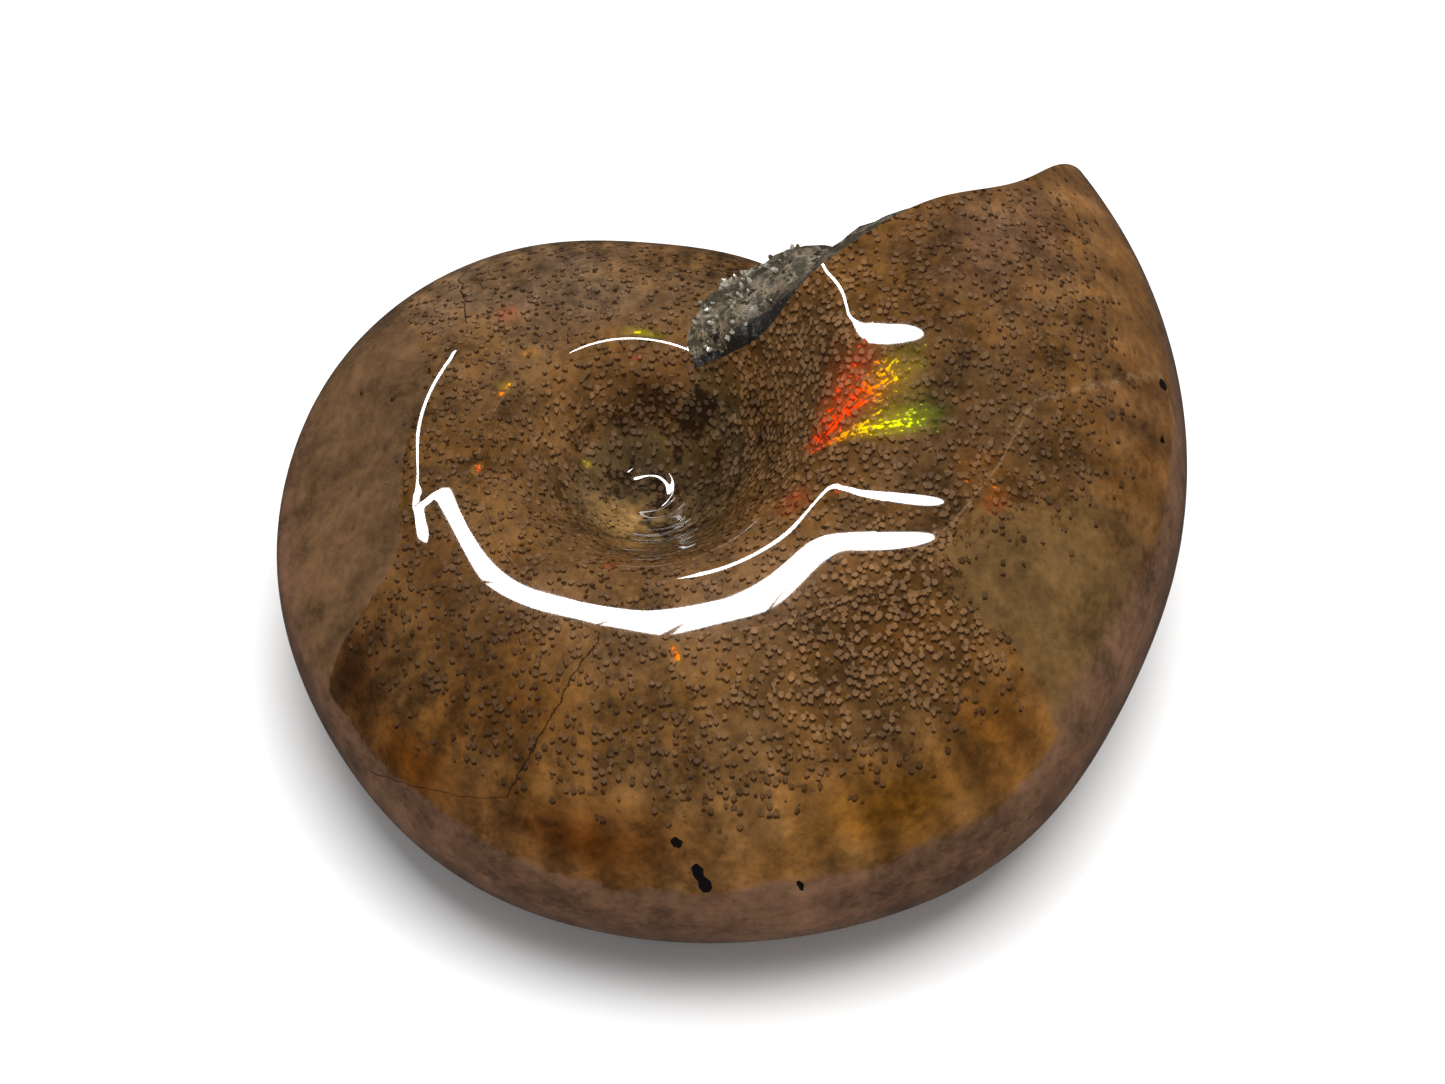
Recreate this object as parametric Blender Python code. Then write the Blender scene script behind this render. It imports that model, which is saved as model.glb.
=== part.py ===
"""Ammonite fossil: a coiled shell turned to stone, polished, and lying on its flank.

The whole fossil is one solid. Its skin is the section of the shell's tube, from the umbilicus over the
flank to the keel and back underneath, carried once round the coil while it grows by a constant ratio.
Turn and turn before share the seam in the umbilicus, and a rough face of rock closes the mouth.
"""

import math

import bmesh
import bpy
import numpy as np
from mathutils import Matrix, Vector, noise

# The coil, in metres and degrees. Its axis is Z and its angles run the way the shell grew.
KEEL_RADIUS = 0.032  # from the axis to the keel at SCALE_ANGLE
SCALE_ANGLE = 42.0
WHORL_GROWTH = 2.0  # how many times larger the shell gets in one turn
GROWTH_RATE = math.log(WHORL_GROWTH) / math.tau

# The section, as shares of the keel's radius at the same angle.
SEAM = 0.18  # where a turn meets the turn before
CREST = 0.42  # where the flank is highest
HALF_THICKNESS = 0.42
FLANK_ROUNDNESS = 2.4  # powers of the superellipse from the crest down to the keel
KEEL_ROUNDNESS = 2.25
FLOOR_HEIGHT = 0.10  # the rock that fills the umbilicus keeps its floor this far from the middle plane

# The mouth, in degrees ahead of SCALE_ANGLE, at the seam, at the rim and where the rock meets the shell.
SEAM_LEAD = 20.0
RIM_LEAD = -6.0
RIM_HOLLOW = 3.5  # the rim curves back by this much between flank and keel
ROCK_LEAD = 9.0  # the rock runs this much further over the turn before
ROCK_ROUGHNESS = 0.0008

# Where the keel was ground or stands proud: angle, width and share of the radius there.
KEEL_SWELLS = (
    (88.0, 22.0, -0.045),
    (145.0, 30.0, 0.030),
    (215.0, 22.0, -0.020),
    (265.0, 25.0, -0.012),
    (312.0, 20.0, 0.028),
    (335.0, 15.0, -0.010),
)

# The flat that the polisher ground on the flank: the way it faces, and its distance from the coil's centre.
GROUND_FLAT_ANGLE = 180.0
GROUND_FLAT_RISE = 51.0
GROUND_FLAT_DISTANCE = 0.0146

# How it lies: which way is up in the coil's own frame, and how far the underside is worn flat.
UP_IN_COIL = Vector((0.068, 0.117, 0.991)).normalized()
REST_WEAR = 0.0003

# The mesh.
ROWS = 76
WALL_COLUMNS = 4
FLANK_COLUMNS = 11
MOUTH_ROWS = 5
MERGE_DISTANCE = 1e-7
SHARP_ANGLE = math.radians(35)


def smooth_step(x):
    """0 before 0, 1 after 1, and a smooth S between them."""
    x = np.clip(x, 0.0, 1.0)
    return x * x * (3 - 2 * x)


def section():
    """Shares of radius and height along the section, from the inner turn's seam to the keel.

    The wall rises from the seam to the crest as a quarter of a sine wave, and its foot is as high as the
    same wall half way up on the turn before. The flank falls from the crest to the keel as a superellipse.
    """
    half_way = math.sin(0.5 * math.pi * SEAM * (WHORL_GROWTH - 1) / (CREST - SEAM))
    foot = HALF_THICKNESS * half_way / (WHORL_GROWTH - 1 + half_way)
    wall = np.linspace(SEAM, SEAM * WHORL_GROWTH, WALL_COLUMNS + 1)
    wall_height = foot + (HALF_THICKNESS - foot) * np.sin(0.5 * np.pi * (wall - SEAM) / (CREST - SEAM))
    turn = np.linspace(0, 0.5 * np.pi, FLANK_COLUMNS + 1)
    flank = CREST + (1 - CREST) * np.sin(turn) ** (2 / FLANK_ROUNDNESS)
    flank_height = HALF_THICKNESS * np.maximum(np.cos(turn), 0) ** (2 / KEEL_ROUNDNESS)
    flank_height[-1] = 0
    inner = wall[:-1] / WHORL_GROWTH
    inner_height = wall_height[:-1] / WHORL_GROWTH
    return np.concatenate([inner, wall, flank]), np.concatenate([inner_height, wall_height, flank_height])


def keel_swell(angle):
    """1 on a true spiral, and a little more or less where the keel stands proud or was ground."""
    swell = np.ones_like(angle)
    for centre, width, share in KEEL_SWELLS:
        away = (angle - math.radians(centre) + math.pi) % math.tau - math.pi
        swell += share * np.exp(-((away / math.radians(width)) ** 2))
    return swell


def mouth_leads(share):
    """How far the last row and the first row run ahead of the scale angle, in degrees, for each column."""
    near_seam = np.clip((0.30 - share) / 0.12, 0, 1) ** 2.2
    hollow = np.exp(-(((share - 0.78) / 0.13) ** 2))
    last = RIM_LEAD + (SEAM_LEAD - RIM_LEAD) * near_seam - RIM_HOLLOW * hollow
    last[share < SEAM + 1e-6] = SEAM_LEAD
    over_flank = smooth_step((share - SEAM * WHORL_GROWTH) / 0.08) * (1 - smooth_step((share - 0.55) / 0.4))
    first = SEAM_LEAD + ROCK_LEAD * over_flank
    return last, first


def coil():
    """Angle, radius and height of the upper skin's points: one row for each step of growth."""
    share, height_share = section()
    last_lead, first_lead = mouth_leads(share)
    grown = np.linspace(0, 1, ROWS + 1)[:, None]
    lead = grown * last_lead + (1 - grown) * first_lead
    angle = np.radians(SCALE_ANGLE + lead) - math.tau * (1 - grown)
    scale = KEEL_RADIUS * np.exp(GROWTH_RATE * (angle - math.radians(SCALE_ANGLE)))
    outer = smooth_step(1.5 * (share - CREST) / (1 - CREST))
    radius = share * scale * (1 + (keel_swell(angle) - 1) * outer)
    height = height_share * scale
    floor = FLOOR_HEIGHT * KEEL_RADIUS
    height = np.where(share <= CREST, np.cbrt(height**3 + floor**3), height)
    return angle, radius, height


def both_sides(angle, radius, height):
    """The upper skin's columns, then the keel, then the same columns back underneath."""
    back = slice(-2, None, -1)
    return (
        np.concatenate([angle, angle[:, back]], axis=1),
        np.concatenate([radius, radius[:, back]], axis=1),
        np.concatenate([height, -height[:, back]], axis=1),
    )


def placed(angle, radius, height):
    """Points of the coil as x, y and z."""
    return np.stack([radius * np.cos(angle), radius * np.sin(angle), height], axis=-1)


def mouth(angle, radius, height):
    """Rows of points across the mouth, from the rim of the last row to the first row behind it.

    Each column runs from its place on the rim to the same column of the turn before. Columns of the
    umbilical wall have no such column, so they all run to the seam. The rock hangs back under the flank
    and rises in a wedge over the turn before.
    """
    seam = WALL_COLUMNS
    count = angle.shape[1]
    rim = np.arange(seam, count - seam)
    behind = np.clip(rim, seam + WALL_COLUMNS, count - 1 - seam - WALL_COLUMNS)
    across = np.linspace(0, 1, MOUTH_ROWS + 1)[:, None]
    keelward = 1 - np.abs(2 * (rim - rim[0]) / (rim[-1] - rim[0]) - 1)
    sweep = across ** (1 + 1.2 * smooth_step(2 * keelward - 0.6))
    behind_angle = angle[0, behind] + math.tau
    rows = placed(
        angle[-1, rim] * (1 - sweep) + behind_angle * sweep,
        radius[-1, rim] * (1 - across) + radius[0, behind] * across,
        height[-1, rim] * (1 - across) + height[0, behind] * across,
    )
    middle = ROCK_ROUGHNESS * np.sin(np.pi * across) * smooth_step(6 * keelward)
    for i, row in enumerate(rows[1:-1], start=1):
        for point, reach in zip(row, middle[i]):
            point += reach * np.array(noise.noise_vector(Vector(point) / 0.0035))
    return rows


def ground(points):
    """Points with the polisher's flat ground on the upper flank."""
    facing, rise = math.radians(GROUND_FLAT_ANGLE), math.radians(GROUND_FLAT_RISE)
    normal = np.array(
        [math.cos(rise) * math.cos(facing), math.cos(rise) * math.sin(facing), math.sin(rise)]
    )
    proud = np.maximum(points @ normal - GROUND_FLAT_DISTANCE, 0)
    return points - proud[..., None] * normal


def skin(bm, points):
    """Vertices at a grid of points, with a face in each of its cells."""
    rows = [[bm.verts.new(point) for point in row] for row in points]
    for here, ahead in zip(rows, rows[1:]):
        for corners in zip(here, here[1:], ahead[1:], ahead):
            bm.faces.new(corners)


def close_umbilicus(bm):
    """A fan of faces over the small hole that the spiral leaves in the middle of each side."""
    rims = [edge for edge in bm.edges if edge.is_boundary]
    floors = bmesh.ops.holes_fill(bm, edges=rims)["faces"]
    bmesh.ops.poke(bm, faces=floors)


def lay_down(bm):
    """The shell turned to lie on its flank, worn flat where it touches, over the middle of its box."""
    upright = UP_IN_COIL.rotation_difference(Vector((0, 0, 1))).to_matrix()
    bmesh.ops.rotate(bm, cent=(0, 0, 0), matrix=upright, verts=bm.verts)
    ground_level = min(vert.co.z for vert in bm.verts) + REST_WEAR
    bmesh.ops.bisect_plane(
        bm,
        geom=[*bm.verts, *bm.edges, *bm.faces],
        plane_co=(0, 0, ground_level),
        plane_no=(0, 0, -1),
        clear_outer=True,
    )
    bmesh.ops.holes_fill(bm, edges=[edge for edge in bm.edges if edge.is_boundary])
    xs = [vert.co.x for vert in bm.verts]
    ys = [vert.co.y for vert in bm.verts]
    middle = Vector(((min(xs) + max(xs)) / 2, (min(ys) + max(ys)) / 2, ground_level))
    bmesh.ops.translate(bm, vec=-middle, verts=bm.verts)


def stone():
    """Brown polished fossil shell."""
    material = bpy.data.materials.new("polished_fossil_shell")
    material.use_nodes = True
    shader = material.node_tree.nodes["Principled BSDF"]
    shader.inputs["Base Color"].default_value = (0.13, 0.075, 0.04, 1)
    shader.inputs["Roughness"].default_value = 0.15
    shader.inputs["Metallic"].default_value = 0.0
    return material


def ammonite():
    """The fossil, as one object."""
    angle, radius, height = both_sides(*coil())
    bm = bmesh.new()
    skin(bm, ground(placed(angle, radius, height)))
    skin(bm, ground(mouth(angle, radius, height)))
    bmesh.ops.remove_doubles(bm, verts=bm.verts, dist=MERGE_DISTANCE)
    close_umbilicus(bm)
    bmesh.ops.recalc_face_normals(bm, faces=bm.faces)
    lay_down(bm)
    bmesh.ops.triangulate(bm, faces=bm.faces)
    mesh = bpy.data.meshes.new("ammonite")
    bm.to_mesh(mesh)
    bm.free()
    mesh.shade_smooth()
    mesh.set_sharp_from_angle(angle=SHARP_ANGLE)
    mesh.materials.append(stone())
    fossil = bpy.data.objects.new("ammonite", mesh)
    bpy.context.scene.collection.objects.link(fossil)
    return fossil


for old in list(bpy.data.objects):
    bpy.data.objects.remove(old)

ammonite()
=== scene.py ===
import math

import bpy
import numpy as np
from mathutils import Matrix, Vector


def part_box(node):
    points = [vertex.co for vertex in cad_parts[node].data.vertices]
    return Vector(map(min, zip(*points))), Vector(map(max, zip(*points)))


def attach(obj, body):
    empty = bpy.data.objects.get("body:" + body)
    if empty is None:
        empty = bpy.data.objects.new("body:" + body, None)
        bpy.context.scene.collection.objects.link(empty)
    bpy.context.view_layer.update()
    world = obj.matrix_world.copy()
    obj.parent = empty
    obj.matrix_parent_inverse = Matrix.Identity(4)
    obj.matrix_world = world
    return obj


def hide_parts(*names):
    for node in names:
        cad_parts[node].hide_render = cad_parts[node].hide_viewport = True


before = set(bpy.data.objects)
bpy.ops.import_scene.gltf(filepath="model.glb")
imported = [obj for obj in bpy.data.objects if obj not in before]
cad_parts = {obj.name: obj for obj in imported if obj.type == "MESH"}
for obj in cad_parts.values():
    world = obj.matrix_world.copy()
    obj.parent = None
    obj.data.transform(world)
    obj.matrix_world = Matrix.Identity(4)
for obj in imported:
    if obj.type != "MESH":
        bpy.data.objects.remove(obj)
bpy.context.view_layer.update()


# The fossil: a coiled shell turned to stone, with brown nacre over it, ground and polished to a wet gloss.
# It is one solid, so it is one closed skin: the shell's tube carried once round the coil, with each side's
# umbilicus closed in the middle and a rough face of rock across the mouth.

KEEL_RADIUS = 0.032
SCALE_ANGLE = math.radians(42)
WHORL_GROWTH = 2.0
GROWTH_RATE = math.log(WHORL_GROWTH) / math.tau
SEAM = 0.18
CREST = 0.42
HALF_THICKNESS = 0.42
FLANK_ROUNDNESS = 2.4
KEEL_ROUNDNESS = 2.25
FLOOR_HEIGHT = 0.10 * KEEL_RADIUS
FLOOR_FADES = 0.30
SEAM_LEAD = 20.0
RIM_LEAD = -6.0
RIM_HOLLOW = 3.5
ROCK_LEAD = 9.0
MOUTH_RECESS = math.radians(5)
KEEL_SWELLS = (
    (88, 22, -0.045),
    (145, 30, 0.030),
    (215, 22, -0.020),
    (265, 25, -0.012),
    (312, 20, 0.028),
    (335, 15, -0.010),
)
FLAT_ANGLE = math.radians(177)
FLAT_RISE = math.radians(51)
FLAT_DISTANCE = 0.01487
FLAT_EDGE = 0.00012
UP_IN_COIL = Vector((0.068, 0.117, 0.991)).normalized()
REST_WEAR = 0.0003

# Folds of the flank, in metres, degrees and shares of the section. Where two numbers stand together, the
# first says where a change starts and the second over how much it goes.
FOLDS_BEGIN = (0.20, 0.16)
FOLDS_END = (0.70, 0.28)
FOLD_LEAN = 42.0
MOUTH_RISE = 0.00080
MOUTH_RISES = (-25.0, 46.0)
MOUTH_FALL = 0.00070
MOUTH_FALLS = (17.0, 20.0)
HOLLOW_DEPTH = 0.00014
HOLLOW_ANGLE = -25.5
HOLLOW_SPREAD = 7.5
HUMP_HEIGHT = 0.00024
HUMP_SHARE = 0.60
HUMP_SPREAD = 0.075
HUMP_BEGINS = (-228, 18)
HUMP_NARROWS = (-173.0, 10)
HUMP_MOVES_OUT = 0.035
HUMP_ENDS = (-158, 12)
RIPPLE_LENGTH = 0.009
RIPPLE_DEPTH = 0.000025

ROWS = 520
INNER_TURNS = 3
WALL_COLUMNS = 10
CREST_COLUMNS = 3
FLANK_COLUMNS = 40
MOUTH_ROWS = 14
SEAM_COLUMN = INNER_TURNS * WALL_COLUMNS
SHARP_ANGLE = math.radians(38)


def smooth(x):
    """0 below 0, 1 above 1, and 3x^2 - 2x^3 between."""
    x = np.clip(x, 0.0, 1.0)
    return x * x * (3 - 2 * x)


def bell(x):
    """1 at 0, falling to 0 on both sides: e to the power of minus x squared."""
    return np.exp(-np.square(x))


def wall_height(share):
    """Quarter of a sine wave from the seam's height up to the crest's."""
    rise = np.sin(0.5 * np.pi * (share - SEAM) / (CREST - SEAM))
    half_way = math.sin(0.5 * math.pi * SEAM * (WHORL_GROWTH - 1) / (CREST - SEAM))
    foot = HALF_THICKNESS * half_way / (WHORL_GROWTH - 1 + half_way)
    return foot + (HALF_THICKNESS - foot) * rise


def section():
    """Shares of radius and height from the middle of the coil to the keel.

    Inside the seam the wall repeats, once for each inner turn, smaller by the whorl growth each time.
    From the crest to the keel the flank is a superellipse, with a power for each of its two axes.
    """
    wall = np.linspace(SEAM, SEAM * WHORL_GROWTH, WALL_COLUMNS + 1)
    crest = np.linspace(SEAM * WHORL_GROWTH, CREST, CREST_COLUMNS + 1)
    turn = np.linspace(0, 0.5 * np.pi, FLANK_COLUMNS + 1)[1:]
    shares = [wall[:-1] / WHORL_GROWTH**n for n in range(INNER_TURNS, -1, -1)] + [crest]
    heights = [wall_height(wall[:-1]) / WHORL_GROWTH**n for n in range(INNER_TURNS, -1, -1)]
    heights.append(wall_height(crest))
    shares.append(CREST + (1 - CREST) * np.sin(turn) ** (2 / FLANK_ROUNDNESS))
    heights.append(HALF_THICKNESS * np.maximum(np.cos(turn), 0) ** (2 / KEEL_ROUNDNESS))
    heights[-1][-1] = 0
    return np.concatenate(shares), np.concatenate(heights)


def keel_swell(angle):
    """1, plus a bell of the given width and share round each swell's angle."""
    swell = np.ones_like(angle)
    for centre, width, share in KEEL_SWELLS:
        away = (angle - math.radians(centre) + math.pi) % math.tau - math.pi
        swell += share * bell(away / math.radians(width))
    return swell


def mouth_leads(share):
    """Degrees that the last row and the first row run ahead of the scale angle in each column."""
    near_seam = np.clip((0.30 - share) / 0.12, 0, 1) ** 2.2
    last = RIM_LEAD + (SEAM_LEAD - RIM_LEAD) * near_seam - RIM_HOLLOW * bell((share - 0.78) / 0.13)
    last[share < SEAM + 1e-6] = SEAM_LEAD
    over_flank = smooth((share - SEAM * WHORL_GROWTH) / 0.08) * (1 - smooth((share - 0.55) / 0.4))
    return last, SEAM_LEAD + ROCK_LEAD * over_flank


def coil():
    """Angle, share, radius and height of the upper skin: a row for each step of growth.

    Radius and height are their shares of a scale that grows by e to the power of growth rate times angle.
    The umbilicus is filled up to its floor by adding the cubes of both heights.
    """
    share, height_share = section()
    last, first = mouth_leads(share)
    grown = np.linspace(0, 1, ROWS + 1)[:, None]
    angle = SCALE_ANGLE + np.radians(grown * last + (1 - grown) * first) - math.tau * (1 - grown)
    scale = KEEL_RADIUS * np.exp(GROWTH_RATE * (angle - SCALE_ANGLE))
    outer = smooth(1.5 * (share - CREST) / (1 - CREST))
    radius = share * scale * (1 + (keel_swell(angle) - 1) * outer)
    floor = FLOOR_HEIGHT * (1 - smooth((share - CREST) / FLOOR_FADES))
    height = np.where(share < 1, np.cbrt((height_share * scale) ** 3 + floor**3), 0)
    return angle, np.broadcast_to(share, angle.shape), radius, height


def from_over(x, start_and_width):
    """0 up to the start, 1 beyond the width after it, and a smooth step between."""
    start, width = start_and_width
    return smooth((x - start) / width)


def worked(angle, share, height):
    """Heights of the flank with what growth and the polisher left on it.

    It rises by a smooth step towards the mouth, after a shallow hollow, and falls again to the rim; these
    folds lean forward with the share. Beside the flat it stands proud by a bell, which becomes half as wide
    and moves out at the flat's lower end.
    """
    degrees = np.degrees(angle)
    on_flank = from_over(share, FOLDS_BEGIN) * (1 - from_over(share, FOLDS_END))
    leaning = degrees - FOLD_LEAN * (share - 0.5)
    rise = MOUTH_RISE * from_over(leaning, MOUTH_RISES)
    rise = rise - MOUTH_FALL * from_over(degrees, MOUTH_FALLS)
    rise = rise - HOLLOW_DEPTH * (share / 0.5) * bell((leaning - HOLLOW_ANGLE) / HOLLOW_SPREAD)
    narrower = from_over(degrees, HUMP_NARROWS)
    spread = HUMP_SPREAD * (1 - 0.50 * narrower)
    by_flat = (spread / HUMP_SPREAD) * bell((share - HUMP_SHARE - HUMP_MOVES_OUT * narrower) / spread)
    by_flat = by_flat * from_over(degrees, HUMP_BEGINS) * (1 - from_over(degrees, HUMP_ENDS))
    return height + rise * on_flank + HUMP_HEIGHT * by_flat


def both_sides(*uppers, signs):
    """Each upper array, then its columns back from the keel underneath, times its sign."""
    back = slice(-2, None, -1)
    return [np.concatenate([a, s * a[:, back]], axis=1) for a, s in zip(uppers, signs)]


def placed(angle, radius, height):
    """x, y, z of a point at this angle and radius round the coil's axis, and this height along it."""
    return np.stack([radius * np.cos(angle), radius * np.sin(angle), height], axis=-1)


def ripple(points, wavelength, seed, waves=9):
    """Sum of sine waves in seeded directions round one wavelength, between about -1 and 1."""
    draw = np.random.default_rng(seed)
    ways = draw.normal(size=(waves, 3))
    ways /= np.linalg.norm(ways, axis=1)[:, None]
    ways *= (math.tau / wavelength) * draw.uniform(0.7, 1.4, (waves, 1))
    phases = draw.uniform(0, math.tau, waves)
    return np.sin(points @ ways.T + phases).sum(axis=-1) / math.sqrt(2 * waves)


def mouth(angle, share, radius, height):
    """Points across the mouth, from the rim to the first row behind it, and their angle and share.

    Radius and height run straight from rim to rock's edge. The angle lags in the middle of the section, so
    the rock hangs back under the flank and rises in a wedge over the turn before.
    """
    count = angle.shape[1]
    rim = np.arange(SEAM_COLUMN, count - SEAM_COLUMN)
    behind = np.clip(rim, SEAM_COLUMN + WALL_COLUMNS, count - 1 - SEAM_COLUMN - WALL_COLUMNS)
    across = np.linspace(0, 1, MOUTH_ROWS + 1)[:, None]
    keelward = 1 - np.abs(2 * (rim - rim[0]) / (rim[-1] - rim[0]) - 1)
    sweep = across ** (1 + 1.2 * smooth(2 * keelward - 0.6))
    row_angle = angle[-1, rim] * (1 - sweep) + (angle[0, behind] + math.tau) * sweep
    recess = np.sin(np.pi * across) * smooth(4 * keelward)
    row_angle = row_angle - MOUTH_RECESS * recess
    points = placed(
        row_angle,
        radius[-1, rim] * (1 - across) + radius[0, behind] * across,
        height[-1, rim] * (1 - across) + height[0, behind] * across,
    )
    rough = np.sin(np.pi * across) * smooth(6 * keelward)
    for wavelength, depth, seed in ((0.006, 0.0006, 3), (0.0021, 0.00028, 4), (0.0009, 0.00012, 5)):
        for axis in range(3):
            points[..., axis] += depth * rough * ripple(points, wavelength, 10 * seed + axis)
    return points, row_angle, np.broadcast_to(share[-1, rim], row_angle.shape), rim, behind


def ground(points):
    """Points with the polisher's flat: what stands proud of its plane is pressed down onto it, and the
    edge of the flat is eased as the mean of the distance and its hypotenuse with the edge's width."""
    normal = np.array(
        [
            math.cos(FLAT_RISE) * math.cos(FLAT_ANGLE),
            math.cos(FLAT_RISE) * math.sin(FLAT_ANGLE),
            math.sin(FLAT_RISE),
        ]
    )
    away = points @ normal - FLAT_DISTANCE
    proud = 0.5 * (away + np.hypot(away, FLAT_EDGE))
    return points - proud[..., None] * normal


def cells(index):
    """Two triangles for each cell of a grid of vertex numbers."""
    a, b, c, d = index[:-1, :-1], index[:-1, 1:], index[1:, 1:], index[1:, :-1]
    return np.stack([a, b, c, a, c, d], axis=-1).reshape(-1, 3)


def hub(edge, centre, turned):
    """A fan of triangles from a line of vertex numbers to one centre."""
    ends = [edge[:-1], edge[1:]] if turned else [edge[1:], edge[:-1]]
    return np.stack([*ends, np.full(len(edge) - 1, centre)], axis=-1)


def fossil_skin():
    """Points, triangles, the number of triangles that are rock, and the angle and share of each point."""
    angle, share, radius, height = coil()
    height = worked(angle, share, height)
    angle, share, radius, height = both_sides(angle, share, radius, height, signs=(1, 1, 1, -1))
    points = placed(angle, radius, height)
    points[..., 2] += RIPPLE_DEPTH * ripple(points, RIPPLE_LENGTH, 1)
    rows, count = angle.shape
    index = np.arange(rows * count).reshape(rows, count)
    inner = np.arange(SEAM_COLUMN + 1)
    index[-1, inner] = index[0, inner + WALL_COLUMNS]
    index[-1, count - 1 - inner] = index[0, count - 1 - inner - WALL_COLUMNS]
    rock, rock_angle, rock_share, rim, behind = mouth(angle, share, radius, height)
    rock_index = rows * count + np.arange(rock[..., 0].size).reshape(rock.shape[:2])
    rock_index[0] = index[-1, rim]
    rock_index[-1] = index[0, behind]
    rock_index[:, 0] = index[-1, rim[0]]
    rock_index[:, -1] = index[-1, rim[-1]]
    middle = rows * count + rock_index.size
    start = math.radians(-28)
    centres = [placed(start, 0.0002, side * height[0, 0] * 0.99) for side in (1, -1)]
    skin = np.concatenate(
        [
            cells(index),
            hub(index[:, 0], middle, True),
            hub(index[0, : WALL_COLUMNS + 1], middle, False),
            hub(index[:, -1], middle + 1, False),
            hub(index[0, : -WALL_COLUMNS - 2 : -1], middle + 1, True),
        ]
    )
    faces = np.concatenate([skin, cells(rock_index)])
    is_rock = np.arange(len(faces)) >= len(skin)
    whole = (faces[:, 0] != faces[:, 1]) & (faces[:, 1] != faces[:, 2]) & (faces[:, 0] != faces[:, 2])
    faces, is_rock = faces[whole], is_rock[whole]
    used, faces = np.unique(faces, return_inverse=True)
    points = np.concatenate([points.reshape(-1, 3), rock.reshape(-1, 3), centres])[used]
    angles = np.concatenate([angle.ravel(), rock_angle.ravel(), [start, start]])[used]
    shares = np.concatenate([share.ravel(), rock_share.ravel(), [0, 0]])[used]
    return points, faces.reshape(-1, 3), is_rock, angles, shares


def laid_down(points):
    """Points turned to lie on the flank, worn flat underneath, and centred on the CAD box; and the place
    where the coil's centre comes to lie."""
    upright = np.array(UP_IN_COIL.rotation_difference(Vector((0, 0, 1))).to_matrix())
    turned = points @ upright.T
    low, high = (np.array(corner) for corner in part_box("ammonite"))
    middle = 0.5 * (turned.min(axis=0) + turned.max(axis=0))
    ground_level = turned[:, 2].min() + REST_WEAR
    turned[:, 2] = np.maximum(turned[:, 2], ground_level)
    shift = 0.5 * (low + high) - middle
    shift[2] = low[2] - ground_level
    return turned + shift, Vector(shift)


points, faces, is_rock, growth_angle, section_share = fossil_skin()
points = ground(points)
points, coil_centre = laid_down(points)


# Colours of the nacre, as light that it sends back, with painted light and shade on three patches in the
# umbilicus.
# Each patch lies at an angle of growth and a share of the section, and spreads this far in both.
BROWN = (0.152, 0.074, 0.024)
PATCHES = (
    # angle, share, spread of angle, spread of share, colour, strength
    (-245, 0.74, 34, 0.28, (0.175, 0.108, 0.064), 0.9),
    (-260, 0.62, 20, 0.10, (0.230, 0.140, 0.075), 0.7),
    (-200, 0.45, 30, 0.12, (0.145, 0.075, 0.030), 0.7),
    (-187, 0.25, 40, 0.07, (0.280, 0.150, 0.064), 0.8),
    # Bright gold low on the left of the umbilicus, where its wall faces the lamps: painted light.
    (-125, 0.124, 45, 0.06, (0.480, 0.290, 0.120), 0.8),
    # The next two rows darken the far side of the umbilicus, in its bowl and on its wall: painted shade.
    (-270, 0.07, 40, 0.06, (0.060, 0.040, 0.024), 0.8),
    (-281, 0.245, 28, 0.05, (0.022, 0.008, 0.001), 0.95),
    (-149, 0.605, 12, 0.08, (0.065, 0.026, 0.008), 0.8),
    (-132, 0.64, 12, 0.10, (0.090, 0.041, 0.014), 0.7),
    (-115, 0.75, 18, 0.12, (0.062, 0.024, 0.004), 0.85),
    (-80, 0.72, 18, 0.16, (0.145, 0.074, 0.026), 0.8),
    (-144, 0.90, 9, 0.12, (0.022, 0.006, 0.001), 0.9),
    (-128, 0.93, 10, 0.06, (0.085, 0.026, 0.002), 0.9),
    (-100, 0.93, 14, 0.05, (0.065, 0.018, 0.001), 0.9),
    (-75, 0.47, 45, 0.10, (0.230, 0.126, 0.064), 0.6),
    (-60, 0.92, 9, 0.05, (0.115, 0.046, 0.001), 0.8),
    (-46, 0.90, 9, 0.07, (0.095, 0.036, 0.005), 0.8),
    (-44, 0.68, 12, 0.13, (0.125, 0.056, 0.014), 0.8),
    (-12, 0.76, 12, 0.12, (0.075, 0.038, 0.013), 0.85),
    (-5, 0.58, 18, 0.12, (0.095, 0.050, 0.021), 0.8),
    (2, 0.92, 16, 0.10, (0.110, 0.050, 0.018), 0.8),
    (24, 0.70, 10, 0.12, (0.175, 0.092, 0.052), 0.7),
    (34, 0.90, 9, 0.16, (0.190, 0.098, 0.044), 0.8),
    (-315, 0.36, 24, 0.12, (0.094, 0.045, 0.019), 0.8),
    (-184, 0.615, 22, 0.012, (0.050, 0.028, 0.002), 0.9),
)
KEEL_GREY = (0.115, 0.060, 0.034)
FLAT_BROWN = (0.100, 0.054, 0.025)
SLAB_PINK = (0.098, 0.054, 0.019)
BOWL_KHAKI = (0.090, 0.056, 0.022)

# The polisher cut through the nacre along the keel, on the flat and on one slab of the last half turn.
WORN_KEEL_ANGLES = (-330, -155, -147, -123, -103, -68, -56, -46, -36, -20, 40)
FLAT_RIDGE_ANGLES = (-222, -214, -201, -194, -176, -158, -153, -149, -146)
FLAT_RIDGE_SHARES = (0.98, 0.73, 0.60, 0.60, 0.62, 0.650, 0.72, 0.88, 0.98)
WORN_KEEL_SHARES = (0.975, 0.968, 0.962, 0.960, 0.982, 0.987, 0.990, 0.980, 0.968, 0.966, 0.968)
SLAB_BEGINS = -36.0
SLAB_BEND = 56
SLAB_BENDS_FROM = 0.76
SLAB_SHARE = 0.69
SLAB_ENDS = -22.0
CRISP = 0.006
SOFT = 0.0012
SOFT_INLAND = 0.12

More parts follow.
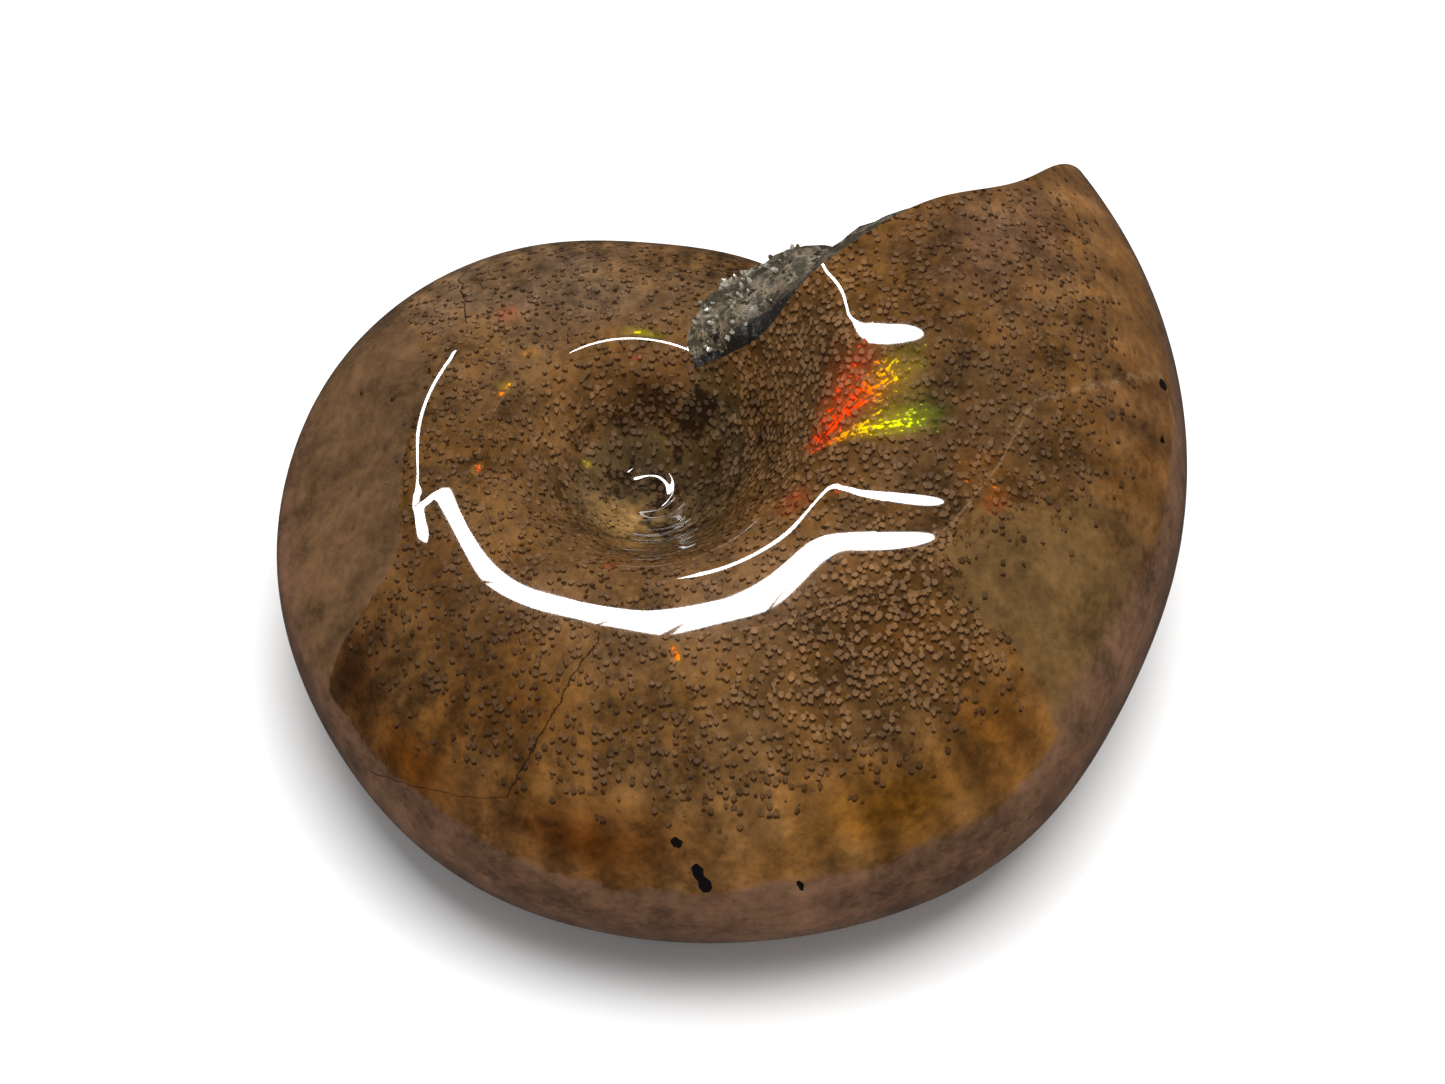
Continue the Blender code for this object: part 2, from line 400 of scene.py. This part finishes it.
# Thin marks: cracks and a pale vein, as the angles where they pass these shares of the section.
CRACK_SHARES = (0.52, 0.56, 0.62, 0.75, 0.90)
CRACK_ANGLES = (-99.5, -102.0, -105.0, -108.0, -111.5)
TOP_CRACK_SHARES = (0.66, 0.75, 0.84, 0.97)
TOP_CRACK_ANGLES = (-222.0, -228.0, -231.0, -242.0)
VEIN_SHARES = (0.71, 0.80, 0.95)
VEIN_ANGLES = (-1.5, 1.0, 7.0)
SPOTS = (
    # angle, share, spread in degrees, spread in share: chips in the nacre, down to black
    (-87.4, 0.919, 0.9, 0.010),
    (-85.2, 0.958, 0.9, 0.012),
    (-84.6, 0.974, 1.1, 0.010),
    (-73.4, 0.983, 0.5, 0.005),
    (6.0, 0.951, 0.9, 0.008),
    (-1.0, 0.949, 0.6, 0.007),
)

# Where the nacre flashes: a fan of rays on the last turn's inner wall, and single flecks. The play of colour
# is the nacre's own, but its flashes, which come with the light and the view, are painted into the colour as
# a fixed sheen.
FAN_APEX = (0.0034, -0.0013)
FAN_REACH = 0.0078
FAN_FIRST_HUE = 14.0
FAN_HUE_SLOPE = 15000.0
FLECKS = (
    # angle, share, spread in degrees, spread in share, hue in degrees, strength
    (-208.9, 0.427, 3.0, 0.014, 24, 1.0),
    (-204.5, 0.420, 1.6, 0.010, 12, 0.8),
    (-226.0, 0.455, 3.0, 0.018, 16, 0.7),
    (-171.1, 0.418, 2.4, 0.014, 6, 1.0),
    (-231.0, 0.610, 5.0, 0.050, 2, 0.35),
    (-102.8, 0.345, 3.5, 0.020, 2, 0.45),
    (-36.0, 0.355, 8.0, 0.040, 2, 0.45),
    (-83.8, 0.558, 1.1, 0.020, 12, 1.1),
    (-270.0, 0.425, 9.0, 0.010, 46, 0.9),
    (-277.0, 0.430, 5.0, 0.012, 58, 0.8),
    (-197.5, 0.172, 4.0, 0.010, 44, 0.9),
    (-28.0, 0.430, 2.4, 0.014, 4, 0.8),
    (-18.7, 0.690, 3.5, 0.030, 4, 0.45),
    (-266.0, 0.345, 3.5, 0.014, 356, 0.5),
    (-14.0, 0.640, 5.0, 0.060, 14, 0.30),
)


def blended(under, over, share):
    """Colours mixed by a share for each point."""
    return under + (np.array(over) - under) * np.clip(share, 0, 1)[:, None]


def nacre_colours_with_painted_light(degrees, share):
    """The patches laid one over another, each as strong as a bell round its place."""
    colours = blended(np.array(BROWN), BOWL_KHAKI, 1 - smooth((share - 0.17) / 0.05))
    for at_angle, at_share, spread_angle, spread_share, colour, strength in PATCHES:
        near = bell((degrees - at_angle) / spread_angle) * bell((share - at_share) / spread_share)
        colours = blended(colours, colour, strength * near)
    return colours


def worn_colours(degrees, share):
    """Grey along the keel, brown on the flat and pink on the slab."""
    colours = np.broadcast_to(np.array(KEEL_GREY), (len(degrees), 3))
    inland = 1 - smooth((share - 0.93) / 0.05)
    colours = blended(colours, FLAT_BROWN, inland * (degrees < -120))
    return blended(colours, SLAB_PINK, inland * (degrees > -60))


def worn_depth(degrees, share):
    """Above 0 where the polisher cut through: the largest of the keel's, the flat's and the slab's.

    The slab begins with a crisp edge that bends back towards the keel, and ends in soft, wavy ones.
    """
    keel = share - np.interp(degrees, WORN_KEEL_ANGLES, WORN_KEEL_SHARES)
    flat = share - np.interp(degrees, FLAT_RIDGE_ANGLES, FLAT_RIDGE_SHARES)
    slab_edge = SLAB_BEGINS - SLAB_BEND * np.square(np.clip(share - SLAB_BENDS_FROM, 0, 1))
    slab = np.minimum((degrees - slab_edge) * CRISP, (share - SLAB_SHARE) * SOFT_INLAND)
    slab = np.minimum(slab, (SLAB_ENDS + 8 * np.sin(9 * share) - degrees) * SOFT)
    return np.maximum(keel, np.maximum(flat, slab))


def hue_colour(hue):
    """The pure colour of a hue in degrees: red 0, yellow 60, green 120."""
    turns = np.stack([(hue / 60 + shift) % 6 for shift in (0, 4, 2)], axis=-1)
    return np.clip(np.abs(turns - 3) - 1, 0, 1)


def painted_flashes(points, degrees, share):
    """Colour, strength and streak coordinates of the flashes, painted as a fixed iridescent sheen.

    In the fan, the hue climbs with distance from the apex, starting later in the steeper rays, and three
    sheaves of rays are bright. Streaks run along the rays.
    """
    out = points[:, :2] - np.array(FAN_APEX)
    distance = np.hypot(out[:, 0], out[:, 1])
    ray = np.degrees(np.arctan2(out[:, 1], out[:, 0]))
    starts = 0.0018 + 0.0030 * smooth((ray - 10) / 22) + 0.0030 * smooth((ray - 40) / 14)
    hue = FAN_FIRST_HUE + FAN_HUE_SLOPE * (distance - starts)
    hue = np.clip(hue, 3, 96)
    sheaves = bell((ray - 9) / 8) + bell((ray - 35) / 8) + 0.7 * bell((ray - 52) / 10)
    sheaves = sheaves + 0.35 * bell((ray - 24) / 9) + 0.25 * bell((ray - 70) / 9)
    along = smooth(distance / 0.0008) * (1 - smooth((distance - 0.45 * FAN_REACH) / (0.85 * FAN_REACH)))
    strength = np.clip(sheaves, 0, 1) * along * (degrees > -60) * (share > 0.24)
    colour = hue_colour(hue) * (1 - 0.45 * smooth((hue - 70) / 30))[:, None]
    for at_angle, at_share, spread_angle, spread_share, at_hue, force in FLECKS:
        near = bell((degrees - at_angle) / spread_angle) * bell((share - at_share) / spread_share)
        fleck = np.clip(1.2 * near, 0, 1)
        colour = blended(colour, hue_colour(np.array(float(at_hue))), smooth(3 * near))
        strength = np.maximum(strength, force * fleck)
    streak = np.stack([ray / 2.2, distance / 0.0013, np.zeros_like(ray)], axis=-1)
    return colour, strength, streak


def beside(degrees, share, radius, shares, angles):
    """Millimetres from a mark that crosses the section, and far off beyond its ends."""
    away = np.radians(degrees - np.interp(share, shares, angles)) * radius * 1000
    beyond = np.maximum(shares[0] - share, share - shares[-1])
    return away + 100 * np.maximum(beyond, 0)


class Wire:
    """A value inside a material. An operator on it adds a Math node and gives the result."""

    def __init__(self, finish, socket):
        self.finish = finish
        self.socket = socket

    def __add__(self, other):
        return self.finish.math("ADD", self, other)

    def __sub__(self, other):
        return self.finish.math("SUBTRACT", self, other)

    def __mul__(self, other):
        return self.finish.math("MULTIPLY", self, other)

    def __truediv__(self, other):
        return self.finish.math("DIVIDE", self, other)

    def __rsub__(self, other):
        return self.finish.math("SUBTRACT", other, self)

    def __rtruediv__(self, other):
        return self.finish.math("DIVIDE", other, self)

    __radd__ = __add__
    __rmul__ = __mul__


class Finish:
    """A material made of nodes."""

    def __init__(self, name):
        self.material = bpy.data.materials.new(name)
        self.material.use_nodes = True
        self.tree = self.material.node_tree
        self.tree.nodes.clear()

    def node(self, kind, settings=None, values=None, out=0):
        """Adds a node of this type, with its settings first and then values or links for its sockets."""
        made = self.tree.nodes.new(kind)
        for name, setting in (settings or {}).items():
            setattr(made, name, setting)
        for socket, value in (values or {}).items():
            if isinstance(value, Wire):
                self.tree.links.new(value.socket, made.inputs[socket])
            else:
                made.inputs[socket].default_value = value
        return Wire(self, made.outputs[out] if made.outputs else None)

    def math(self, operation, *values):
        return self.node("ShaderNodeMath", {"operation": operation}, dict(enumerate(values)))

    def vector(self, operation, *values):
        return self.node("ShaderNodeVectorMath", {"operation": operation}, dict(enumerate(values)))

    def scaled(self, vector, factor):
        """A vector or colour times a number."""
        return self.node("ShaderNodeVectorMath", {"operation": "SCALE"}, {0: vector, "Scale": factor})

    def step(self, value, low, high):
        """0 up to low, 1 from high on, and a smooth S between; low may be the larger."""
        settings = {"interpolation_type": "SMOOTHSTEP"}
        return self.node("ShaderNodeMapRange", settings, {0: value, 1: low, 2: high, 3: 0.0, 4: 1.0})

    def mix(self, share, under, over):
        return self.node("ShaderNodeMix", {"data_type": "RGBA"}, {0: share, 6: under, 7: over}, out=2)

    def noise(self, place, size, detail=2.0, rough=0.5, out=0):
        """Soft noise with features of this size, in the unit of place."""
        values = {"Vector": place, "Scale": 1 / size, "Detail": detail, "Roughness": rough}
        return self.node("ShaderNodeTexNoise", {}, values, out)

    def cells(self, place, size, out="Distance"):
        """Cells of this size round scattered points: the distance to the nearest, or its colour."""
        values = {"Vector": place, "Scale": 1 / size}
        return self.node("ShaderNodeTexVoronoi", {}, values, out)

    def parts(self, vector):
        """The three parts of a vector."""
        split = self.node("ShaderNodeSeparateXYZ", {}, {0: vector}).socket.node
        return [Wire(self, socket) for socket in split.outputs]

    def attribute(self, name, out="Fac"):
        return self.node("ShaderNodeAttribute", {"attribute_name": name}, out=out)

    def shade(self, **sockets):
        """The Principled shader with these sockets, joined to the output."""
        values = {name.replace("_", " "): value for name, value in sockets.items()}
        shader = self.node("ShaderNodeBsdfPrincipled", {}, values)
        self.node("ShaderNodeOutputMaterial", {}, {"Surface": shader})
        return self.material


def rgb(colour):
    return (*colour, 1.0)


GRANULE = 0.00037
GRANULE_TOP = (0.200, 0.122, 0.074)
# Dark of the cracks, of the blotches in the bowl, and of the crumbs' painted shadows.
MARK_AND_SHADOW_DARK = (0.012, 0.005, 0.002)
CHIP_BLACK = (0.004, 0.003, 0.003)
VEIN_PALE = (0.230, 0.140, 0.070)
# How far from each crumb its painted shadow is drawn.
SHADOW_SIDE = (0.0, 0.00013, 0.00007)
BUMP_HEIGHT = 0.0001
COAT_ROUGHNESS = 0.03
RIB_PITCH = 6.8
WARM = (1.1, 0.95, 0.6)


def granules_at(f, place, share_there):
    """Crumbs in cells, with ragged edges: a share of the cells hold one."""
    ragged = (f.noise(place, 0.00020, 2, 0.6) - 0.5) * 0.7
    chance = f.parts(f.cells(place, GRANULE, "Color"))[0]
    return f.step(f.cells(place, GRANULE) + ragged, 0.56, 0.40) * f.step(share_there - chance, 0.0, 0.03)


def nacre():
    """Brown nacre with granules in it, each with a painted shadow on its lower side, and painted flashes of
    iridescence, under the gloss of the polish.
    """
    f = Finish("polished_nacre")
    place = f.node("ShaderNodeTexCoord", out="Object")
    granule_share, worn, bowl = f.parts(f.attribute("patchwork", "Vector"))
    crack, vein, spot = f.parts(f.attribute("marks", "Vector"))
    growth = f.attribute("growth")
    broad = f.noise(place, 0.0065, 3, 0.55)
    middling = f.noise(place, 0.0022, 3, 0.6)
    fine = f.noise(place, 0.0006, 4, 0.7)
    warp = (f.noise(place, 0.0035, 3, 0.6) - 0.5) * 3.5
    ribs = f.math("SINE", (growth + warp) * (math.tau / RIB_PITCH))
    clouds = f.step(broad, 0.34, 0.66)
    grit = f.step(fine, 0.30, 0.70)
    patches = f.step(middling, 0.36, 0.64)
    tone = 0.26 + 0.50 * clouds + 0.44 * patches + 0.52 * grit
    outer = f.step(f.attribute("section"), 0.62, 0.86)
    colour = f.scaled(f.attribute("tint", "Color"), tone * (1 + 0.24 * ribs * outer))
    warm = f.vector("MULTIPLY", colour, WARM)
    colour = f.mix(f.step(f.noise(place, 0.0042, 3, 0.6), 0.42, 0.62) * 0.55, colour, warm)
    dark_blotch = f.step(f.noise(place, 0.0026, 4, 0.7), 0.50, 0.60) * bowl
    colour = f.mix(dark_blotch * 0.9, colour, rgb(MARK_AND_SHADOW_DARK))
    worn_tone = (0.34 + 0.62 * clouds + 0.40 * patches + 0.50 * grit) * (1 + 0.07 * ribs)
    worn_colour = f.scaled(f.attribute("worn_tint", "Color"), worn_tone)
    worn_edge = worn + (middling - 0.5) * 0.024 + (fine - 0.5) * 0.016
    cut = f.step(worn_edge, -0.004, 0.004)
    colour = f.mix(cut, colour, worn_colour)
    shown = granule_share * (1 - 0.93 * cut)
    dome = granules_at(f, place, shown)
    # A painted shadow beside each crumb, on its lower side: dark where the point moved by SHADOW_SIDE lies
    # in a crumb but the point itself does not.
    above = granules_at(f, f.vector("ADD", place, SHADOW_SIDE), shown)
    shadow = above * (1 - dome)
    crowded = f.step(shown, 0.30, 0.95)
    own_tone = f.parts(f.cells(place, GRANULE, "Color"))[1]
    lit = f.scaled(f.mix(0.35, colour, rgb(GRANULE_TOP)), 0.28 + 0.50 * own_tone + 0.62 * crowded)
    colour = f.scaled(colour, 1 - 0.45 * crowded)
    colour = f.mix(dome * 0.85, colour, lit)
    colour = f.mix(shadow * 0.85, colour, rgb(MARK_AND_SHADOW_DARK))
    flakes = f.noise(f.attribute("streak", "Vector"), 1.0, 3, 0.65)
    speckle = f.noise(place, 0.00028, 2, 0.6)
    strength = f.attribute("flash", "Alpha")
    # The flashes mixed into the base colour: the nacre's play of colour, painted as a fixed sheen.
    glow = f.step(strength * 0.5 + flakes * 1.1 + speckle * 1.0, 1.42, 1.60) * f.step(strength, 0.02, 0.3)
    glow = f.math("MAXIMUM", glow * (1 - 0.8 * shadow), f.step(strength + flakes * 0.6, 0.40, 1.1) * 0.14)
    colour = f.mix(glow, colour, f.attribute("flash", "Color"))
    wander = (f.noise(place, 0.0009, 3, 0.6) - 0.5) * 0.9
    line = f.step(f.math("ABSOLUTE", crack + wander), 0.075, 0.035)
    colour = f.mix(line * 0.75, colour, rgb(MARK_AND_SHADOW_DARK))
    pale = f.step(f.math("ABSOLUTE", vein + wander * 1.6), 0.45, 0.05) * f.step(fine, 0.38, 0.6)
    colour = f.mix(pale * 0.6, colour, rgb(VEIN_PALE))
    colour = f.mix(f.step(spot + (middling - 0.5) * 0.5, 0.42, 0.5), colour, rgb(CHIP_BLACK))
    height = dome + fine * 0.35 - line * 0.6
    bump = f.node("ShaderNodeBump", {}, {"Strength": 0.6, "Distance": BUMP_HEIGHT, "Height": height})
    return f.shade(
        Base_Color=colour,
        Roughness=0.6,
        Specular_IOR_Level=0.0,
        Normal=bump,
        Coat_Weight=1.0,
        Coat_Roughness=COAT_ROUGHNESS,
        Coat_IOR=1.5,
    )


STONE_SHADE_DARK = (0.012, 0.010, 0.008)
STONE_GREY = (0.056, 0.043, 0.023)
STONE_PALE = (0.270, 0.205, 0.130)


def rock():
    """Grey-brown rock of the mouth, pale towards the edge of the wedge; painted shade turns it near black
    deep in the pocket by the seam, under the rim, broken up by noise.
    """
    f = Finish("mouth_rock")
    place = f.node("ShaderNodeTexCoord", out="Object")
    broad = f.noise(place, 0.0028, 4, 0.62)
    fine = f.noise(place, 0.0007, 4, 0.65)
    pocket = f.attribute("pocket")
    grey = f.mix(f.step(broad * 0.5 + fine * 0.5, 0.44, 0.60), rgb(STONE_GREY), rgb(STONE_PALE))
    # Painted shade: near black deep in the pocket under the rim, broken up by noise.
    pocket_shade = f.step(pocket * 1.1 + (broad - 0.5) * 2.4 + (fine - 0.5) * 1.6, 0.20, 0.42)
    colour = f.mix(pocket_shade, grey, rgb(STONE_SHADE_DARK))
    height = broad + fine * 0.6
    bump = f.node("ShaderNodeBump", {}, {"Strength": 0.9, "Distance": 0.0004, "Height": height})
    return f.shade(Base_Color=colour, Roughness=0.5, Normal=bump, Coat_Weight=0.35, Coat_Roughness=0.15)


def put_attribute(mesh, name, kind, values):
    """Stores one value, colour or vector for each point."""
    fields = {"FLOAT": "value", "FLOAT_COLOR": "color", "FLOAT_VECTOR": "vector"}
    made = mesh.attributes.new(name, kind, "POINT")
    made.data.foreach_set(fields[kind], np.ascontiguousarray(values, np.float32).ravel())


def with_alpha(colours, alpha=1.0):
    return np.concatenate([colours, np.broadcast_to(alpha, len(colours))[:, None]], axis=1)


def granule_density(degrees, share):
    """Share of cells that hold a granule: dense on the last turn's flank and wall, sparse low on the left,
    none towards the keel."""
    density = 0.58 + 0.42 * bell((degrees + 45) / 26) * bell((share - 0.66) / 0.16)
    density = density + 0.45 * bell((degrees - 8) / 40) * bell((share - 0.30) / 0.14)
    density = density - 0.20 * bell((degrees + 125) / 30) * smooth((share - 0.55) / 0.1)
    density = density + 0.15 * bell((share - 0.25) / 0.08)
    return np.clip(density, 0, 0.97) * (1 - smooth((share - 0.80) / 0.13))


def fossil():
    """The fossil's mesh, with its attributes and its two materials."""
    mesh = bpy.data.meshes.new("polished_shell")
    mesh.from_pydata(points, [], faces)
    mesh.materials.append(nacre())
    mesh.materials.append(rock())
    mesh.polygons.foreach_set("material_index", is_rock.astype(np.int32))
    degrees, share = np.degrees(growth_angle), section_share
    radius = np.hypot(*(points - np.array(coil_centre))[:, :2].T)
    upper = points[:, 2] > coil_centre.z - 0.02 * radius
    colour, strength, streak = painted_flashes(points, degrees, share)
    crack = beside(degrees, share, radius, CRACK_SHARES, CRACK_ANGLES)
    top_crack = beside(degrees, share, radius, TOP_CRACK_SHARES, TOP_CRACK_ANGLES)
    nearer = np.where(np.abs(crack) < np.abs(top_crack), crack, top_crack)
    vein = beside(degrees, share, radius, VEIN_SHARES, VEIN_ANGLES)
    spots = [bell((degrees - a) / sa) * bell((share - s) / ss) for a, s, sa, ss in SPOTS]
    marks = [np.where(upper, nearer, 9), np.where(upper, vein, 9), upper * np.max(spots, axis=0)]
    worn = np.where(upper, worn_depth(degrees, share), share - 0.975)
    bowl = 1 - smooth((share - 0.21) / 0.06)
    put_attribute(mesh, "growth", "FLOAT", degrees)
    put_attribute(mesh, "section", "FLOAT", share)
    put_attribute(mesh, "tint", "FLOAT_COLOR", with_alpha(nacre_colours_with_painted_light(degrees, share)))
    put_attribute(mesh, "worn_tint", "FLOAT_COLOR", with_alpha(worn_colours(degrees, share)))
    put_attribute(mesh, "flash", "FLOAT_COLOR", with_alpha(colour, strength * upper))
    put_attribute(mesh, "streak", "FLOAT_VECTOR", streak)
    put_attribute(mesh, "marks", "FLOAT_VECTOR", np.stack(marks, axis=-1))
    patchwork = [granule_density(degrees, share), worn, bowl]
    put_attribute(mesh, "patchwork", "FLOAT_VECTOR", np.stack(patchwork, axis=-1))
    # How deep in the pocket under the rim each point lies; the rock's painted shade follows it.
    put_attribute(mesh, "pocket", "FLOAT", 1 - smooth((share - 0.30) / 0.12))
    mesh.shade_smooth()
    mesh.set_sharp_from_angle(angle=SHARP_ANGLE)
    mesh.validate()
    piece = bpy.data.objects.new("polished_shell", mesh)
    bpy.context.scene.collection.objects.link(piece)
    return piece


shell = fossil()
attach(shell, "root")
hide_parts("ammonite")


# The crystals: a crust of pale quartz that grew in the pocket of the mouth rock, each a six-sided prism with
# a pointed end, stuck into the rock.

CRYSTALS = 110
CRYSTAL_PLACE = np.array([0.0004, 0.0118, 0.0212])
CRYSTAL_REACH = 0.0042
CRYSTAL_WIDTHS = (0.00010, 0.00036)
QUARTZ = (0.34, 0.31, 0.25)
QUARTZ_STAIN = (0.060, 0.046, 0.020)


def crystal_shape():
    """Points and faces of a prism one unit wide and two high, with its pointed end up."""
    turn = np.arange(6) * (math.tau / 6)
    ring = np.stack([0.5 * np.cos(turn), 0.5 * np.sin(turn), np.zeros(6)], axis=-1)
    shape = np.concatenate([ring - (0, 0, 0.8), ring * (0.9, 0.9, 1) + (0, 0, 0.7), [(0.1, 0.05, 1.2)]])
    sides = [(k, (k + 1) % 6, 6 + (k + 1) % 6, 6 + k) for k in range(6)]
    tips = [(6 + k, 6 + (k + 1) % 6, 12) for k in range(6)]
    return shape, sides + tips + [(5, 4, 3, 2, 1, 0)]


def quartz():
    """Pale stone, stained brown in patches."""
    f = Finish("pale_quartz")
    place = f.node("ShaderNodeTexCoord", out="Object")
    stain = f.step(f.noise(place, 0.0011, 3, 0.6), 0.44, 0.60)
    return f.shade(Base_Color=f.mix(stain, rgb(QUARTZ), rgb(QUARTZ_STAIN)), Roughness=0.3, Coat_Weight=1.0)


def crystals():
    """Seeded crystals on the rock near their place, more or less upright on it."""
    corners = points[faces[is_rock]]
    middles = corners.mean(axis=1)
    upright = np.cross(corners[:, 1] - corners[:, 0], corners[:, 2] - corners[:, 0])
    upright /= np.linalg.norm(upright, axis=1)[:, None]
    near = np.flatnonzero(np.linalg.norm(middles - CRYSTAL_PLACE, axis=1) < CRYSTAL_REACH)
    draw = np.random.default_rng(12)
    chosen = draw.choice(near, CRYSTALS)
    shape, shape_faces = crystal_shape()
    up = upright[chosen] + draw.normal(0, 0.45, (CRYSTALS, 3))
    up /= np.linalg.norm(up, axis=1)[:, None]
    side = np.cross(up, draw.normal(size=(CRYSTALS, 3)))
    side /= np.linalg.norm(side, axis=1)[:, None]
    width = draw.uniform(*CRYSTAL_WIDTHS, (CRYSTALS, 1, 1))
    turned = np.stack([side, np.cross(up, side), up], axis=1)
    grown = middles[chosen][:, None] + width * (shape @ turned)
    first = len(shape) * np.arange(CRYSTALS)
    all_faces = [tuple(start + k for k in face) for start in first.tolist() for face in shape_faces]
    mesh = bpy.data.meshes.new("mouth_crystals")
    mesh.from_pydata(grown.reshape(-1, 3), [], all_faces)
    mesh.materials.append(quartz())
    piece = bpy.data.objects.new("mouth_crystals", mesh)
    bpy.context.scene.collection.objects.link(piece)
    return piece


crust = crystals()
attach(crust, "root")


# The table top: a plain sheet of pale card under the fossil, far wider than the view.

FLOOR_SIZE = 4.0
CARD = (0.92, 0.92, 0.92)


def card_floor():
    """A flat square round the fossil's foot."""
    half = FLOOR_SIZE / 2
    ends = np.array([(-1, -1, 0), (1, -1, 0), (1, 1, 0), (-1, 1, 0)]) * half
    mesh = bpy.data.meshes.new("card_floor")
    mesh.from_pydata(ends, [], [(0, 1, 2, 3)])
    finish = Finish("pale_card")
    mesh.materials.append(
        finish.shade(
            Base_Color=rgb(CARD),
            Roughness=0.8,
            Specular_IOR_Level=0.2,
        )
    )
    floor = bpy.data.objects.new("card_floor", mesh)
    floor.visible_glossy = False
    bpy.context.scene.collection.objects.link(floor)
    return floor


card_floor()


# The light: a narrow strip lamp bent into an L over the fossil, far to the left and back, then across the
# front to a rounded tip, which only the gloss shows; a wide soft lamp overhead that lights the fossil; and
# a pale room that fills the shadows.

LAMP_HEIGHT = 0.60
LAMP_WIDTH = 0.045
LAMP_RADIANCE = 36.0
LAMP_PATH = (
    (-0.49, 1.35),
    (-0.48, 0.62),
    (-0.44, 0.40),
    (-0.36, 0.27),
    (-0.27, 0.185),
    (-0.16, 0.155),
    (0.02, 0.155),
)
LAMP_TIP = ((-0.12, 0.150), (0.21, 0.130))
LAMP_TIP_WIDTH = 0.055
ROOM = (0.9, 0.9, 0.9)
ROOM_FILL = 0.48
ROOM_IN_GLOSS = 0.04


def strip_lamp(start, end, width, shape="RECTANGLE"):
    """A straight piece of the strip, or its tip as an ellipse, between two places and facing the fossil."""
    middle = 0.5 * (start + end)
    lamp = bpy.data.lights.new("strip_lamp", "AREA")
    lamp.shape = shape
    lamp.size = (end - start).length * 1.02
    lamp.size_y = width
    area = lamp.size * lamp.size_y * (math.pi / 4 if shape == "ELLIPSE" else 1)
    lamp.energy = LAMP_RADIANCE * area * math.pi
    along = (end - start).normalized()
    back = middle.normalized()
    across = back.cross(along).normalized()
    back = along.cross(across).normalized()
    placed_lamp = bpy.data.objects.new("strip_lamp", lamp)
    turned = Matrix((along, across, back)).transposed().to_4x4()
    placed_lamp.matrix_world = Matrix.Translation(middle + coil_centre) @ turned
    placed_lamp.visible_diffuse = False
    bpy.context.scene.collection.objects.link(placed_lamp)


SOFT_PLACE = Vector((0.06, -0.07, 0.82))
SOFT_SIZE = 0.42
SOFT_POWER = 7.5


def soft_lamp(place, size, power):
    """A wide square lamp at a place over the coil's centre, facing it, that the gloss does not show."""
    lamp = bpy.data.lights.new("soft_lamp", "AREA")
    lamp.size = size
    lamp.energy = power
    held = bpy.data.objects.new("soft_lamp", lamp)
    held.location = coil_centre + place
    held.rotation_euler = (-place).to_track_quat("-Z", "Y").to_euler()
    held.visible_glossy = False
    bpy.context.scene.collection.objects.link(held)


soft_lamp(SOFT_PLACE, SOFT_SIZE, SOFT_POWER)
lamp_places = [LAMP_HEIGHT * Vector((x, y, 1.0)) for x, y in LAMP_PATH]
for start, end in zip(lamp_places, lamp_places[1:]):
    strip_lamp(start, end, LAMP_WIDTH)
tip_start, tip_end = (LAMP_HEIGHT * Vector((x, y, 1.0)) for x, y in LAMP_TIP)
strip_lamp(tip_start, tip_end, LAMP_TIP_WIDTH, "ELLIPSE")


def pale_room():
    """A world that is pale to the eye, soft as fill, and nearly dark in the gloss."""
    world = bpy.data.worlds.new("pale_room")
    world.use_nodes = True
    tree = world.node_tree
    tree.nodes.clear()
    seen = tree.nodes.new("ShaderNodeLightPath")
    fill = tree.nodes.new("ShaderNodeMix")
    fill.inputs[2].default_value = ROOM_FILL
    fill.inputs[3].default_value = ROOM_IN_GLOSS
    tree.links.new(seen.outputs["Is Glossy Ray"], fill.inputs[0])
    eye = tree.nodes.new("ShaderNodeMix")
    eye.inputs[3].default_value = 1.0
    tree.links.new(seen.outputs["Is Camera Ray"], eye.inputs[0])
    tree.links.new(fill.outputs[0], eye.inputs[2])
    background = tree.nodes.new("ShaderNodeBackground")
    background.inputs["Color"].default_value = rgb(ROOM)
    tree.links.new(eye.outputs[0], background.inputs["Strength"])
    output = tree.nodes.new("ShaderNodeOutputWorld")
    tree.links.new(background.outputs[0], output.inputs["Surface"])
    return world


bpy.context.scene.world = pale_room()


# The camera, as far off as a hand-held one, looking down on the fossil from the front.

CAMERA_DISTANCE = 6.715 * KEEL_RADIUS
CAMERA_RISE = math.radians(54.1)
CAMERA_LENS = 96.2
AIM_RIGHT = 0.01722
AIM_DOWN = 0.00673


def camera():
    """A camera that turns about the coil's centre and aims a little right of it and below it."""
    back = Vector((0, -math.cos(CAMERA_RISE), math.sin(CAMERA_RISE)))
    right = Vector((1, 0, 0))
    up = back.cross(right)
    place = coil_centre + back * CAMERA_DISTANCE
    aim = coil_centre + (right * AIM_RIGHT - up * AIM_DOWN) * CAMERA_DISTANCE
    lens = bpy.data.cameras.new("camera")
    lens.lens = CAMERA_LENS
    lens.sensor_width = 36.0
    lens.clip_start = 0.01
    held = bpy.data.objects.new("camera", lens)
    held.location = place
    held.rotation_euler = (aim - place).to_track_quat("-Z", "Y").to_euler()
    bpy.context.scene.collection.objects.link(held)
    return held


bpy.context.scene.camera = camera()
bpy.context.scene.view_settings.view_transform = "Standard"
